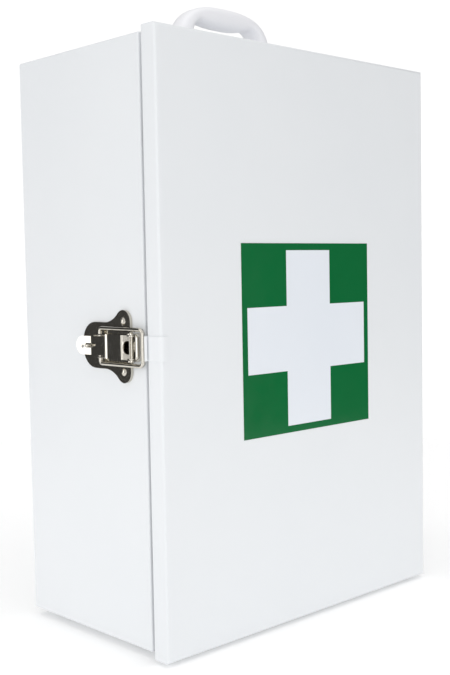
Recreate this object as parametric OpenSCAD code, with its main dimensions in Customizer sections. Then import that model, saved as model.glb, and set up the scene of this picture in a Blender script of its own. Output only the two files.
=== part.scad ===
// Lockable steel medicine cabinet with a carrying handle, a piano-hinged door
// and a padlockable draw latch. Millimetres, +Z up, the door faces -Y.
// The origin is the centre of the wall-fixing holes on the back panel's outer face.

/* [Cabinet] */
// Width of the door
door_w = 310; // [260:5:380]
// Height of the door
door_h = 456; // [400:5:560]
// Depth from the back panel's outer face to the door's front face
overall_d = 175; // [150:5:240]
// Thickness of the sheet steel
sheet = 1.0; // [0.8:0.1:1.5]
// How far the door stands past the body, on each edge
overhang = 3; // [2:0.5:4]
// Gap between the body's front and the door's folded edge
seam = 2.6; // [2.2:0.1:4]

/* [Door] */
// Depth of the door's folded edge
door_edge_d = 16; // [13:0.5:22]
// Outside radius of the bend at the door's front edges
door_front_r = 2.5; // [1.8:0.1:3.5]
// Outside radius of the bend at the door's back edges
door_back_r = 1.6; // [1.6:0.1:2.5]
// Width of the lip that is folded in at the door's back
door_lip = 13; // [10:0.5:20]

/* [Body] */
// Outside radius of the bends at the body's front edges
body_front_r = 2.2; // [1.8:0.1:3]
// Outside radius of the bends along the body's long edges
body_side_r = 2.2; // [1.8:0.1:3]
// Width of the lip that is folded in at the body's front
body_lip = 13; // [10:0.5:20]
// Depth of the back panel's folded edge
back_edge_d = 12; // [8:1:20]
// Clearance between the back panel and the wrapper
back_clear = 0.1; // [0.05:0.05:0.3]

/* [Wall fixings] */
// Distance between the wall-fixing holes across the cabinet
fixing_x = 200; // [140:5:220]
// Distance between the wall-fixing holes up the cabinet
fixing_z = 340; // [300:5:360]
// Radius of a wall-fixing hole
fixing_r = 3.25; // [2.5:0.25:4]

/* [Shelves] */
// Height of the lower shelf's top face above the cabinet's middle
lower_shelf_z = -74; // [-110:2:-40]
// Height of the upper shelf's top face above the cabinet's middle
upper_shelf_z = 76; // [40:2:110]
// Space between a shelf's front edge and the body's front
shelf_setback = 15; // [8:1:30]
// Height of the shelf's turned-up front lip
shelf_lip = 12; // [8:1:20]
// Height of the shelf's turned-up back edge
shelf_back_lip = 8; // [5:1:15]
// Outside radius of the shelf's bends
shelf_bend_r = 2.5; // [1.8:0.1:4]
// Clearance between a shelf and the back panel's folded edge
shelf_clear = 0.4; // [0.4:0.1:1]
// Width of each leg of the shelf rails
rail_leg = 12; // [9:1:18]
// Length of the shelf rails
rail_len = 112; // [80:2:120]
// Distance of a shelf screw from the end of its rail
shelf_screw_end = 16; // [10:1:30]

/* [Feet] */
// Height of the rubber feet
foot_h = 6; // [4:0.5:12]
// Radius of a foot at its top
foot_r = 9; // [7:0.5:12]
// Distance of a foot's centre from the body's sides, front and back
foot_inset = 26; // [16:1:40]

/* [Handle] */
// Length of the handle over its outer curve at the feet
handle_span = 112; // [100:2:140]
// Height of the handle
handle_h = 51.6; // [46:0.2:60]
// Width of the handle, front to back
handle_w = 20; // [16:1:26]
// Width of a leg at its foot, along the handle
handle_leg = 18; // [14:1:22]
// Height of the finger gap beside the legs
handle_gap_h = 38; // [34:1:40]
// How far the grip swells down into the finger gap
handle_swell = 4; // [2:0.5:6]
// Length of a handle foot past the leg, at the outer end
handle_toe = 6; // [4:0.5:10]
// Thickness of the handle's feet
handle_foot_t = 3.5; // [2.5:0.5:5]

/* [Sign] */
// Side of the green square
sign_side = 150; // [110:5:180]
// Length of the cross's arms from tip to tip
cross_len = 139; // [90:1:150]
// Width of the cross's arms
cross_arm = 51.5; // [30:0.5:60]
// Thickness of the green film
film_t = 0.25; // [0.15:0.05:0.5]
// Thickness of the white film
cross_t = 0.15; // [0.1:0.05:0.3]

/* [Hinge] */
// Length of the piano hinge
hinge_len = 430; // [350:5:450]
// Number of knuckles, an odd number
knuckles = 17; // [9:2:25]
// Thickness of the hinge leaves
leaf_t = 0.8; // [0.6:0.1:0.9]
// Width of a hinge leaf
leaf_w = 14; // [10:0.5:18]
// Radius of the hinge pin
hinge_pin_r = 1.2; // [1.0:0.1:1.4]
// Radial clearance between the pins and their bores
pin_clear = 0.05; // [0.02:0.01:0.1]
// Gap between neighbouring knuckles
knuckle_gap = 0.4; // [0.3:0.1:0.8]
// Gap between the knuckles and the door's side
barrel_gap = 0.3; // [0.25:0.05:0.6]

/* [Latch] */
// Height of the latch above the cabinet's middle
latch_z = 0; // [-40:5:40]
// Thickness of the latch's sheet
latch_t = 1.0; // [0.8:0.1:1.2]
// Height of the pressed base plate
base_h = 2.2; // [2:0.1:2.4]
// Distance of the lever's pivot behind the door's front face
pivot_back = 31; // [30.5:0.1:33]
// Distance of the lever's pivot out from the body's side
pivot_out = 5.3; // [5.3:0.1:6]
// Distance from the lever's pivot to the bail's pivot
bail_offset = 38; // [36:0.5:38.5]
// Radius of the bail's wire
wire_r = 1.5; // [1.2:0.1:1.6]
// Height of the bail from the middle of one side wire to the other
bail_h = 26.4; // [26:0.2:28]
// Radius of the lever's pivot pin
pivot_r = 1.5; // [1.2:0.1:1.6]
// Half the height of the lever
lever_half = 9; // [8:0.2:9.2]
// Half the height of the padlock tongue
tongue_half = 7.05; // [6.5:0.05:7.4]
// Distance of the tongue's tip behind the door's front face
tongue_tip = 93; // [91:0.1:96]
// How far the tongue turns up towards its tip
tongue_rise = 2; // [1:0.1:3]
// Radius of the padlock eye in the staple
eye_r = 1.7; // [1.5:0.1:2]
// Distance of the rivet lobes behind the door's front face
lobe_back = 44.5; // [43:0.5:46]
// Height of the rivet lobes' centres above and below the latch's axis
lobe_z = 18.7; // [18:0.1:20]
// Radius of a rivet lobe
lobe_r = 8.4; // [7:0.1:9]
// Half the height of the keeper on the door
keeper_half = 9; // [7:0.5:9.5]

/* [Hidden] */
$fn = 48;
eps = 0.01;

// Colours
paint = [0.93, 0.94, 0.95];
plastic = [0.94, 0.94, 0.95];
nickel = [0.62, 0.62, 0.60];
zinc = [0.75, 0.76, 0.77];
black_rubber = [0.12, 0.12, 0.13];
sign_green = [0.05, 0.40, 0.20];
sign_white = [0.95, 0.95, 0.96];

// Cabinet, derived
door_front_y = -overall_d;
door_back_y = door_front_y + door_edge_d;
body_front_y = door_back_y + seam;
body_d = -body_front_y;
body_w = door_w - 2 * overhang;
body_h = door_h - 2 * overhang;
in_w = body_w - 2 * sheet;
in_h = body_h - 2 * sheet;
mid_y = body_front_y / 2;

// Shelves, derived
shelf_w = in_w - 2 * (back_clear + sheet + shelf_clear);
shelf_back_y = -sheet - shelf_clear;
shelf_front_y = body_front_y + shelf_setback;
rail_back_y = -back_edge_d - 2;
shelf_screw_x = in_w / 2 - 7.5;
shelf_screw_y = [rail_back_y - shelf_screw_end, rail_back_y - rail_len + shelf_screw_end];
small_screw_r = 1.9;
small_hole_r = 2.0;
small_head_r = 3.4;
small_head_h = 1.8;
shelf_screw_len = 6;

// Feet and buffers, derived
foot_taper = 1.2;
foot_bore_r = small_head_r + 0.8;
foot_screw_len = foot_h / 2 + sheet + 3;
buffer_r = 4;
buffer_tip_r = 3.4;
buffer_x = body_w / 2 - body_front_r - 5;

// Handle, derived
handle_bore_r = 2.0;
handle_screw_r = handle_bore_r - pin_clear;
handle_screw_x = (handle_span - handle_leg) / 2;
handle_screw_len = 20;
handle_head_r = 4.4;
handle_head_h = 2.6;
handle_pad_len = handle_leg + handle_toe + 3;
handle_pad_w = handle_w + 6;
handle_pad_r = 6;
washer_r = 6;
washer_t = 1;

// Hinge, derived
barrel_r = hinge_pin_r + pin_clear + leaf_t;
hinge_x = door_w / 2 + barrel_gap + barrel_r;
hinge_y = body_front_y - seam / 2;
knuckle_pitch = hinge_len / knuckles;
leaf_edge_x = hinge_x - barrel_r - barrel_gap;

// Latch, derived. Along: distance behind the door's front face.
// Out: distance out from the body's side. Up: height above the latch's axis.
side_gap = 0.4;
flange_in = lever_half - latch_t;
ear_in = lever_half + side_gap;
ear_out = ear_in + latch_t;
ear_r = pivot_r + 1.7;
lug_r = pivot_r + 1.1;
bail_out = pivot_out - 0.35;
bail_pivot = pivot_back + bail_offset;
bail_lug_r = wire_r + 0.8;
bail_front = 18.4;
bail_corner_r = 3.5;
bail_end_r = 2.5;
wire_z = bail_h / 2;
lever_top = 7.6;
lever_front = pivot_back - 1;
ridge = 1.0;
front_ridge = pivot_back + 8.4;
rear_ridge = bail_pivot - 10.7;
staple_at = 79;
staple_t = 1.5;
tongue_bend = staple_at - 2;
tongue_out = lever_top + tongue_rise * (staple_at - tongue_bend) / (tongue_tip - tongue_bend);
eye_out = tongue_out + 0.2 + eye_r;
staple_r = eye_r + 1;
slot_gap = 1;
tail_w = 4.4;
base_half = 17.5;
base_rear = 94;
base_corner_r = 15;
base_web_r = 20;
nose_front = 25.2;
nose_half = ear_out;
nose_corner_r = 4;
nose_r = 3.3;
nose_out = 2.2;
nose_lip = 2.1;
lever_open = 140;
mid_rivet_at = 56;
rivet_r = 1.9;
rivet_head_r = 3;
rivet_head_h = 1.3;
web_rise = base_half + base_web_r - lobe_z;
web_at = lobe_back + sqrt(pow(lobe_r + base_web_r, 2) - pow(web_rise, 2));
finger_hole_r = 4.9;
small_eye_r = 1.1;
small_eye_at = 86.1;
small_eye_up = -0.9;
cut = 20;
keeper_t = 1.0;
curl_r = 1.6;
curl_at = bail_front - wire_r - 0.5 - curl_r;

// ---------- shared shapes ----------

// Rectangle on its lower edge's middle, with the two lower and the two upper corners rounded
module round_rect(w, h, low_r, high_r) {
    for (side = [-1, 1]) {
        if (low_r > 0) translate([side * (w / 2 - low_r), low_r]) circle(low_r);
        if (high_r > 0) translate([side * (w / 2 - high_r), h - high_r]) circle(high_r);
    }
    translate([-w / 2, low_r]) square([w, h - low_r - high_r]);
    translate([-w / 2 + low_r, 0]) square([w - 2 * low_r, h / 2]);
    translate([-w / 2 + high_r, h / 2]) square([w - 2 * high_r, h / 2]);
}

// Box w wide and h high that runs from front_y back by d, with its front and back edges rounded
module bent_box(w, h, front_y, d, front_r, back_r) {
    intersection() {
        translate([0, front_y, -h / 2]) linear_extrude(h) round_rect(w, d, front_r, back_r);
        translate([w / 2, front_y, 0]) rotate([0, -90, 0]) linear_extrude(w)
            round_rect(h, d, front_r, back_r);
    }
}

// Domed head of radius r and height h, standing on the plane z = 0
module dome(r, h) {
    ball = (r * r + h * h) / (2 * h);
    rotate_extrude() intersection() {
        translate([0, h - ball]) circle(ball);
        square([r, h]);
    }
}

// Screw that points along +Z, with its head under the plane z = 0
module screw(shank_r, len, head_r, head_h) {
    cylinder(r = shank_r, h = len);
    mirror([0, 0, 1]) dome(head_r, head_h);
}

// Puts (along, out, up) of the latch on the left side of the body
module on_side() {
    translate([-body_w / 2, door_front_y, latch_z]) rotate([0, 0, 90]) children();
}

// Raises an (along, up) outline out from the body's side by h
module raise(h) {
    rotate([90, 0, 0]) mirror([0, 0, 1]) linear_extrude(h) children();
}

// Round bar or bore along the latch's height at (along, out)
module cross_bar(along, out, r, low, high) {
    translate([along, out, low]) cylinder(r = r, h = high - low);
}

// ---------- body ----------

// Folded shell of the body, open at the back and with lips round the door opening
module body_shell() difference() {
    intersection() {
        bent_box(body_w, body_h, body_front_y, body_d, body_front_r, 0);
        translate([0, 0, -body_h / 2]) rotate([90, 0, 0]) linear_extrude(2 * body_d, center = true)
            round_rect(body_w, body_h, body_side_r, body_side_r);
    }
    intersection() {
        bent_box(in_w, in_h, body_front_y + sheet, body_d, body_front_r - sheet, 0);
        translate([0, 0, -in_h / 2]) rotate([90, 0, 0]) linear_extrude(3 * body_d, center = true)
            round_rect(in_w, in_h, body_side_r - sheet, body_side_r - sheet);
    }
    // door opening between the folded lips
    translate([0, body_front_y, 0])
        cube([body_w - 2 * body_lip, 4 * sheet, body_h - 2 * body_lip], center = true);
}

// The shell's front, up to the end of its front bends
module frame_zone() translate([-body_w, body_front_y - 1, -body_h])
    cube([2 * body_w, body_front_r + 1, 2 * body_h]);

module front_frame() color(paint) intersection() {
    body_shell();
    frame_zone();
}

module body_wrapper() color(paint) difference() {
    body_shell();
    frame_zone();
    for (side = [-1, 1]) translate([side * handle_screw_x, mid_y, in_h / 2 - 1])
        cylinder(r = handle_screw_r + 0.3, h = sheet + 2);
    foot_places() translate([0, 0, -body_h / 2 - 1]) cylinder(r = small_hole_r, h = sheet + 2);
    on_side() rivet_places() translate([0, 0, -2 * sheet])
        cylinder(r = rivet_r + pin_clear, h = 3 * sheet);
}

module back_panel() color(paint) difference() {
    pan_w = in_w - 2 * back_clear;
    pan_h = in_h - 2 * back_clear;
    corner_r = body_side_r - sheet;
    intersection() {
        bent_box(pan_w, pan_h, -back_edge_d, back_edge_d, 0, body_side_r);
        translate([0, 0, -pan_h / 2]) rotate([90, 0, 0]) linear_extrude(3 * back_edge_d, center = true)
            round_rect(pan_w, pan_h, corner_r, corner_r);
    }
    bent_box(pan_w - 2 * sheet, pan_h - 2 * sheet, -2 * back_edge_d, 2 * back_edge_d - sheet,
             0, body_side_r - sheet);
    for (side = [-1, 1], end = [-1, 1])
        translate([side * fixing_x / 2, 1, end * fixing_z / 2]) rotate([90, 0, 0])
            cylinder(r = fixing_r, h = sheet + 2);
}

// ---------- shelves ----------

// Profile of a shelf, from its front lip to its back edge, with the top face at height 0
module shelf_profile() {
    r = shelf_bend_r;
    depth = shelf_back_y - shelf_front_y;
    difference() {
        union() {
            translate([r, -sheet]) square([depth - 2 * r, sheet]);
            translate([0, r - sheet]) square([sheet, shelf_lip - r]);
            translate([depth - sheet, r - sheet]) square([sheet, shelf_back_lip - r]);
            intersection() {
                translate([0, -sheet]) square(r);
                translate([r, r - sheet]) circle(r);
            }
            intersection() {
                translate([depth - r, -sheet]) square(r);
                translate([depth - r, r - sheet]) circle(r);
            }
        }
        translate([r, r - sheet]) circle(r - sheet);
        translate([depth - r, r - sheet]) circle(r - sheet);
    }
}

module shelf(top_z) color(paint) difference() {
    translate([-shelf_w / 2, shelf_front_y, top_z]) rotate([90, 0, 90])
        linear_extrude(shelf_w) shelf_profile();
    shelf_screw_places() translate([0, 0, top_z - 2 * sheet]) cylinder(r = small_hole_r, h = 3 * sheet);
}

module shelf_upper() shelf(upper_shelf_z);
module shelf_lower() shelf(lower_shelf_z);

module shelf_screw_places() {
    for (side = [-1, 1], y = shelf_screw_y) translate([side * shelf_screw_x, y, 0]) children();
}

module shelf_rails() color(paint) {
    for (top_z = [lower_shelf_z, upper_shelf_z], side = [0, 1]) mirror([side, 0, 0]) difference() {
        translate([-in_w / 2, rail_back_y - rail_len, top_z - sheet]) {
            translate([0, 0, -rail_leg]) cube([sheet, rail_len, rail_leg]);
            translate([0, 0, -sheet]) cube([rail_leg, rail_len, sheet]);
        }
        shelf_screw_places() translate([0, 0, top_z - 4 * sheet]) cylinder(r = small_hole_r, h = 4 * sheet);
    }
}

module shelf_screws() color(zinc) {
    for (top_z = [lower_shelf_z, upper_shelf_z])
        shelf_screw_places() translate([0, 0, top_z]) mirror([0, 0, 1])
            screw(small_screw_r, shelf_screw_len, small_head_r, small_head_h);
}

// ---------- feet, buffers ----------

module foot_places() {
    for (side = [-1, 1], y = [-foot_inset, body_front_y + foot_inset])
        translate([side * (body_w / 2 - foot_inset), y, 0]) children();
}

module rubber_feet() color(black_rubber) foot_places() translate([0, 0, -body_h / 2 - foot_h])
    difference() {
        cylinder(r1 = foot_r - foot_taper, r2 = foot_r, h = foot_h);
        translate([0, 0, -1]) cylinder(r = foot_bore_r, h = foot_h / 2 + 1);
        cylinder(r = small_hole_r + 0.2, h = foot_h + 1);
    }

module foot_screws() color(zinc) foot_places() translate([0, 0, -body_h / 2 - foot_h / 2])
    screw(small_screw_r, foot_screw_len, small_head_r, small_head_h);

module door_buffers() color(black_rubber) {
    for (end = [-1, 1]) translate([-buffer_x, body_front_y, end * door_h / 3])
        rotate([90, 0, 0]) cylinder(r1 = buffer_r, r2 = buffer_tip_r, h = seam - 0.3);
}

// ---------- handle ----------

// Distance from the middle of the feet to an oval-cornered arch in the direction of an angle
function arch_radius(angle, half_span, height, squareness) =
    pow(pow(abs(cos(angle)) / half_span, squareness) + pow(sin(angle) / height, squareness),
        -1 / squareness);
function on_arch(angle, half_span, height, squareness) =
    arch_radius(angle, half_span, height, squareness) * [cos(angle), sin(angle)];
// How much the grip swells down at a distance from the middle
function swell(x) = handle_swell * (1 - pow(min(abs(x) / 28, 1), 3));
function outer_point(angle) = on_arch(angle, handle_span / 2, handle_h, 2.8);
function inner_point(angle) =
    let (p = on_arch(angle, handle_span / 2 - handle_leg, handle_gap_h, 6)) [p[0], p[1] - swell(p[0])];
// Rounded cross-section of the handle at an angle of the arch
function oval(t, power) = [sign(cos(t)) * pow(abs(cos(t)), power), sign(sin(t)) * pow(abs(sin(t)), power)];
function handle_ring(angle, sides) =
    let (low = inner_point(angle), high = outer_point(angle), mid = (low + high) / 2,
         half = (high - low) / 2)
    [for (k = [0:sides - 1]) let (c = oval(360 * k / sides, 0.72))
        [mid[0] + half[0] * c[0], c[1] * handle_w / 2, mid[1] + half[1] * c[0]]];

module handle_arch() {
    rings = 36;
    sides = 20;
    points = [for (i = [0:rings]) each handle_ring(180 * i / rings, sides)];
    walls = [for (i = [0:rings - 1], k = [0:sides - 1])
        let (a = i * sides + k, b = i * sides + (k + 1) % sides)
        each [[a, b + sides, b], [a, a + sides, b + sides]]];
    first = [for (k = [0:sides - 1]) k];
    last = [for (k = [sides - 1:-1:0]) rings * sides + k];
    polyhedron(points, concat([first], walls, [last]));
}

module handle_grip() color(plastic) translate([0, mid_y, body_h / 2]) difference() {
    union() {
        handle_arch();
        for (side = [-1, 1])
            translate([side * (handle_span / 2 + handle_toe - handle_pad_len / 2), -handle_pad_w / 2, 0])
                linear_extrude(handle_foot_t)
                    round_rect(handle_pad_len, handle_pad_w, handle_pad_r, handle_pad_r);
    }
    for (side = [-1, 1]) translate([side * handle_screw_x, 0, -1])
        cylinder(r = handle_bore_r, h = handle_screw_len + 2);
}

module handle_screws() color(zinc) {
    for (side = [-1, 1]) translate([side * handle_screw_x, mid_y, in_h / 2 - washer_t])
        screw(handle_screw_r, handle_screw_len, handle_head_r, handle_head_h);
}

module handle_washers() color(zinc) {
    for (side = [-1, 1]) translate([side * handle_screw_x, mid_y, in_h / 2 - washer_t])
        difference() {
            cylinder(r = washer_r, h = washer_t);
            translate([0, 0, -1]) cylinder(r = handle_screw_r + 0.3, h = washer_t + 2);
        }
}

// ---------- hinge ----------

// Leaf of the piano hinge. The even or the odd knuckles are its own; way = 1 lies on the body.
module hinge_leaf(first, way) {
    difference() {
        union() {
            translate([leaf_edge_x - leaf_w, 0, -hinge_len / 2])
                leaf_plate(leaf_w, hinge_len, way);
            for (k = [first:2:knuckles - 1])
                translate([0, 0, -hinge_len / 2 + k * knuckle_pitch + knuckle_gap / 2]) {
                    translate([leaf_edge_x - eps, 0, 0])
                        leaf_plate(hinge_x - leaf_edge_x, knuckle_pitch - knuckle_gap, way);
                    translate([hinge_x, hinge_y, 0])
                        cylinder(r = barrel_r, h = knuckle_pitch - knuckle_gap);
                }
        }
        translate([hinge_x, hinge_y, -hinge_len]) cylinder(r = hinge_pin_r + pin_clear, h = 2 * hinge_len);
    }
}

// Flat strip against the body's front (way = 1) or the door's back (way = -1)
module leaf_plate(w, h, way) {
    y = way > 0 ? body_front_y - leaf_t : door_back_y;
    translate([0, y, 0]) cube([w, leaf_t, h]);
}

module hinge_body_leaf() color(zinc) hinge_leaf(0, 1);
module hinge_door_leaf() color(zinc) hinge_leaf(1, -1);

module hinge_pin() color(zinc) translate([hinge_x, hinge_y, 0]) {
    cylinder(r = hinge_pin_r, h = hinge_len + 0.6, center = true);
    for (end = [0, 1]) mirror([0, 0, end]) translate([0, 0, hinge_len / 2 + 0.2])
        dome(barrel_r - 0.2, 1);
}

// ---------- door ----------

module door_pan() color(paint) difference() {
    bent_box(door_w, door_h, door_front_y, door_edge_d, door_front_r, door_back_r);
    bent_box(door_w - 2 * sheet, door_h - 2 * sheet, door_front_y + sheet, door_edge_d - 2 * sheet,
             door_front_r - sheet, door_back_r - sheet);
    translate([0, door_back_y, 0])
        cube([door_w - 2 * door_lip, 4 * sheet, door_h - 2 * door_lip], center = true);
}

module sign_green_field() color(sign_green) translate([0, door_front_y - film_t / 2, 0])
    cube([sign_side, film_t, sign_side], center = true);

module sign_white_cross() color(sign_white)
    translate([0, door_front_y - film_t - cross_t / 2, 0]) {
        cube([cross_arm, cross_t, cross_len], center = true);
        cube([cross_len, cross_t, cross_arm], center = true);
    }

// ---------- latch ----------

module rivet_places() {
    for (end = [-1, 1]) translate([lobe_back, 0, end * lobe_z]) rotate([-90, 0, 0]) children();
    translate([mid_rivet_at, 0, 0]) rotate([-90, 0, 0]) children();
}

// Outline of the pressed base plate, drawn in by inset
module base_outline(inset) {
    neck_in = latch_t / 2 + inset;
    translate([nose_front + neck_in, 0]) rotate(-90)
        round_rect(2 * (nose_half - neck_in), lobe_back - nose_front, nose_corner_r - neck_in, 0);
    translate([lobe_back - lobe_r + inset, -lobe_z]) square([lobe_r, 2 * lobe_z]);
    translate([lobe_back - 1, -base_half + inset])
        square([base_rear - base_corner_r - lobe_back + 1, 2 * (base_half - inset)]);
    translate([base_rear - base_corner_r - 1, -base_half + base_corner_r])
        square([base_corner_r + 1 - inset, 2 * (base_half - base_corner_r)]);
    for (side = [0, 1]) mirror([0, side]) {
        translate([lobe_back, lobe_z]) circle(lobe_r - inset);
        translate([base_rear - base_corner_r, base_half - base_corner_r]) circle(base_corner_r - inset);
        difference() {
            polygon([[lobe_back, lobe_z], [web_at, base_half + base_web_r],
                     [web_at, base_half - 2], [lobe_back, base_half - 4]]);
            translate([web_at, base_half + base_web_r]) circle(base_web_r + inset);
        }
    }
}

// Cross-section of the hood's wall, from the middle of its corner bend outwards
module nose_profile() {
    difference() {
        union() {
            translate([nose_corner_r - nose_r, nose_out]) circle(nose_r);
            square([nose_corner_r, nose_out]);
        }
        translate([nose_corner_r - nose_r, nose_out]) circle(nose_r - latch_t);
        translate([0, -1]) square([nose_corner_r - latch_t, nose_out + 1]);
        translate([nose_lip - cut, -cut]) square([cut, 2 * cut]);
        translate([0, -cut]) square([cut, cut]);
    }
}

// Domed hood in front of the lever, with rounded corners and room for the open lever
module nose() {
    straight = nose_half - nose_corner_r;
    difference() {
        translate([nose_front + nose_corner_r, 0, 0]) {
            translate([0, 0, -straight]) mirror([1, 0, 0]) linear_extrude(2 * straight) nose_profile();
            for (side = [0, 1]) mirror([0, 0, side]) translate([0, 0, straight])
                rotate([-90, 0, 0]) rotate([0, 0, 180]) rotate_extrude(angle = 90) nose_profile();
        }
        cross_bar(pivot_back, pivot_out, lug_r + side_gap, -ear_in, ear_in);
        translate([pivot_back, pivot_out, -ear_in]) rotate([0, 0, lever_open])
            translate([-lug_r, -cut]) cube([cut, cut + lever_top - pivot_out + side_gap, 2 * ear_in]);
    }
}

module latch_base() color(nickel) on_side() difference() {
    union() {
        difference() {
            union() {
                raise(base_h - 0.5) base_outline(0);
                raise(base_h) base_outline(0.6);
            }
            translate([0, -1, 0]) raise(base_h - latch_t + 1) base_outline(latch_t);
        }
        nose();
        for (side = [0, 1]) mirror([0, 0, side]) translate([0, 0, ear_in]) linear_extrude(latch_t) {
            translate([pivot_back, pivot_out]) circle(ear_r);
            translate([pivot_back - ear_r, base_h - latch_t / 2])
                square([2 * ear_r, pivot_out - base_h + latch_t / 2]);
        }
    }
    cross_bar(pivot_back, pivot_out, pivot_r + pin_clear, -ear_out - 1, ear_out + 1);
    rivet_places() translate([0, 0, -1]) cylinder(r = rivet_r + pin_clear, h = base_h + 2);
    translate([staple_at - tail_w / 2 - pin_clear, 0, -staple_t / 2 - pin_clear])
        cube([tail_w + 2 * pin_clear, 2 * base_h, staple_t + 2 * pin_clear]);
}

module latch_staple() color(nickel) on_side() translate([0, 0, -staple_t / 2])
    linear_extrude(staple_t) difference() {
        union() {
            translate([staple_at, eye_out]) circle(staple_r);
            translate([staple_at - staple_r, base_h]) square([2 * staple_r, eye_out - base_h]);
            translate([staple_at - tail_w / 2, base_h - latch_t]) square([tail_w, latch_t + eps]);
        }
        translate([staple_at, eye_out]) circle(eye_r);
    }

module latch_rivets() color(nickel) on_side() rivet_places() {
    translate([0, 0, base_h]) dome(rivet_head_r, rivet_head_h);
    translate([0, 0, -sheet - eps]) cylinder(r = rivet_r, h = base_h + sheet + 2 * eps);
    translate([0, 0, -sheet]) mirror([0, 0, 1]) dome(rivet_head_r, rivet_head_h);
}

module latch_pivot_pin() color(nickel) on_side() {
    cross_bar(pivot_back, pivot_out, pivot_r, -ear_out - 0.2, ear_out + 0.2);
    for (side = [0, 1]) mirror([0, 0, side])
        translate([pivot_back, pivot_out, ear_out + 0.1]) dome(pivot_r + 0.7, 0.8);
}

// Cross-section of the lever's web along its length: front plate, two ridges, turned-up tongue
module lever_profile() {
    front_end = front_ridge + 2.9;
    rear_end = rear_ridge + 3.6;
    top = [[lever_front, lever_top], [front_ridge - 1.1, lever_top], [front_ridge, lever_top + ridge],
           [front_end, lever_top + ridge], [front_end + 1.3, lever_top],
           [rear_ridge - 1.3, lever_top], [rear_ridge, lever_top + ridge],
           [rear_end, lever_top + ridge], [rear_end + 1.3, lever_top],
           [tongue_bend, lever_top], [tongue_tip, lever_top + tongue_rise]];
    last = len(top) - 1;
    polygon(concat(top, [for (i = [last:-1:0]) top[i] - [0, latch_t]]));
}

// Outline of the lever seen from the side of the cabinet
module lever_plan() {
    shoulder = rear_ridge - 0.3;
    narrow = shoulder + 2.5;
    translate([lever_front, -lever_half]) square([shoulder - lever_front, 2 * lever_half]);
    polygon([[shoulder - 1, -lever_half], [shoulder, -lever_half], [narrow, -tongue_half],
             [narrow, tongue_half], [shoulder, lever_half], [shoulder - 1, lever_half]]);
    translate([narrow - 1, -tongue_half])
        square([tongue_tip - tongue_half - narrow + 1, 2 * tongue_half]);
    translate([tongue_tip - tongue_half, 0]) circle(tongue_half);
}

// One side flange of the lever, with the lugs for the two pivots
module lever_flange() {
    translate([pivot_back, pivot_out]) circle(lug_r);
    translate([bail_pivot, bail_out]) circle(bail_lug_r);
    polygon([[pivot_back + 0.4, lever_top - latch_t / 2], [bail_pivot + 1.4, lever_top - latch_t / 2],
             [bail_pivot + bail_lug_r, bail_out], [bail_pivot, bail_out - bail_lug_r],
             [bail_pivot - 6, bail_out - 1.2], [pivot_back + 7, pivot_out - 1.6],
             [pivot_back, pivot_out - lug_r], [pivot_back, pivot_out]]);
}

module latch_lever() color(nickel) on_side() {
    hole_flat = pivot_back + 0.4;
    hole_at = hole_flat + 2;
    difference() {
        union() {
            intersection() {
                translate([0, 0, -lever_half]) linear_extrude(2 * lever_half) lever_profile();
                raise(cut) lever_plan();
            }
            for (side = [0, 1]) mirror([0, 0, side]) translate([0, 0, flange_in])
                linear_extrude(latch_t) lever_flange();
        }
        cross_bar(pivot_back, pivot_out, pivot_r + pin_clear, -lever_half - 1, lever_half + 1);
        cross_bar(bail_pivot, bail_out, wire_r + pin_clear, -lever_half - 1, lever_half + 1);
        // D-shaped finger hole in the front plate
        raise(cut) {
            translate([hole_flat, -finger_hole_r]) square([hole_at - hole_flat, 2 * finger_hole_r]);
            intersection() {
                translate([hole_at, 0]) circle(finger_hole_r);
                translate([hole_at - eps, -cut / 2]) square(cut);
            }
        }
        // slot that the staple comes through, and the small hole behind it
        raise(cut) translate([staple_at - staple_r - 0.6, -staple_t / 2 - slot_gap])
            square([2 * staple_r + 1.8, staple_t + 2 * slot_gap]);
        raise(cut) translate([small_eye_at, small_eye_up]) circle(small_eye_r);
    }
}

// Quarter bend of the bail's wire about (along, up), from one direction to the next
module wire_bend(along, up, r, start) {
    translate([along, bail_out, up]) rotate([90, 0, 0]) rotate([0, 0, start])
        rotate_extrude(angle = 90) translate([r, 0]) circle(wire_r);
}

module latch_bail() color(nickel) on_side() {
    cross_bar(bail_front, bail_out, wire_r, -wire_z + bail_corner_r, wire_z - bail_corner_r);
    for (side = [0, 1]) mirror([0, 0, side]) {
        wire_bend(bail_front + bail_corner_r, wire_z - bail_corner_r, bail_corner_r, 90);
        translate([bail_front + bail_corner_r, bail_out, wire_z]) rotate([0, 90, 0])
            cylinder(r = wire_r, h = bail_pivot - bail_front - bail_corner_r - bail_end_r);
        wire_bend(bail_pivot - bail_end_r, wire_z - bail_end_r, bail_end_r, 0);
        cross_bar(bail_pivot, bail_out, wire_r, flange_in - 0.8, wire_z - bail_end_r);
    }
}

// Keeper: wraps the door's front edge, runs back along its side and ends in a curl
module latch_keeper() color(paint) on_side() translate([0, 0, -keeper_half])
    linear_extrude(2 * keeper_half) {
        bend = [door_front_r, overhang - door_front_r];
        bend_in = door_front_r + 0.02;
        difference() {
            translate(bend) circle(bend_in + keeper_t);
            translate(bend) circle(bend_in);
            translate([bend[0], -cut]) square(2 * cut);
            translate([-cut, bend[1] - cut]) square([2 * cut, cut]);
        }
        translate([-keeper_t, bend[1] - 3]) square([keeper_t - 0.02, 3]);
        translate([bend[0], overhang]) square([curl_at - bend[0], keeper_t]);
        translate([curl_at, overhang + curl_r]) difference() {
            circle(curl_r);
            circle(curl_r - keeper_t);
            translate([-curl_r - 1, -curl_r + keeper_t]) square([curl_r + 1, curl_r - keeper_t + 0.4]);
        }
    }

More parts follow.
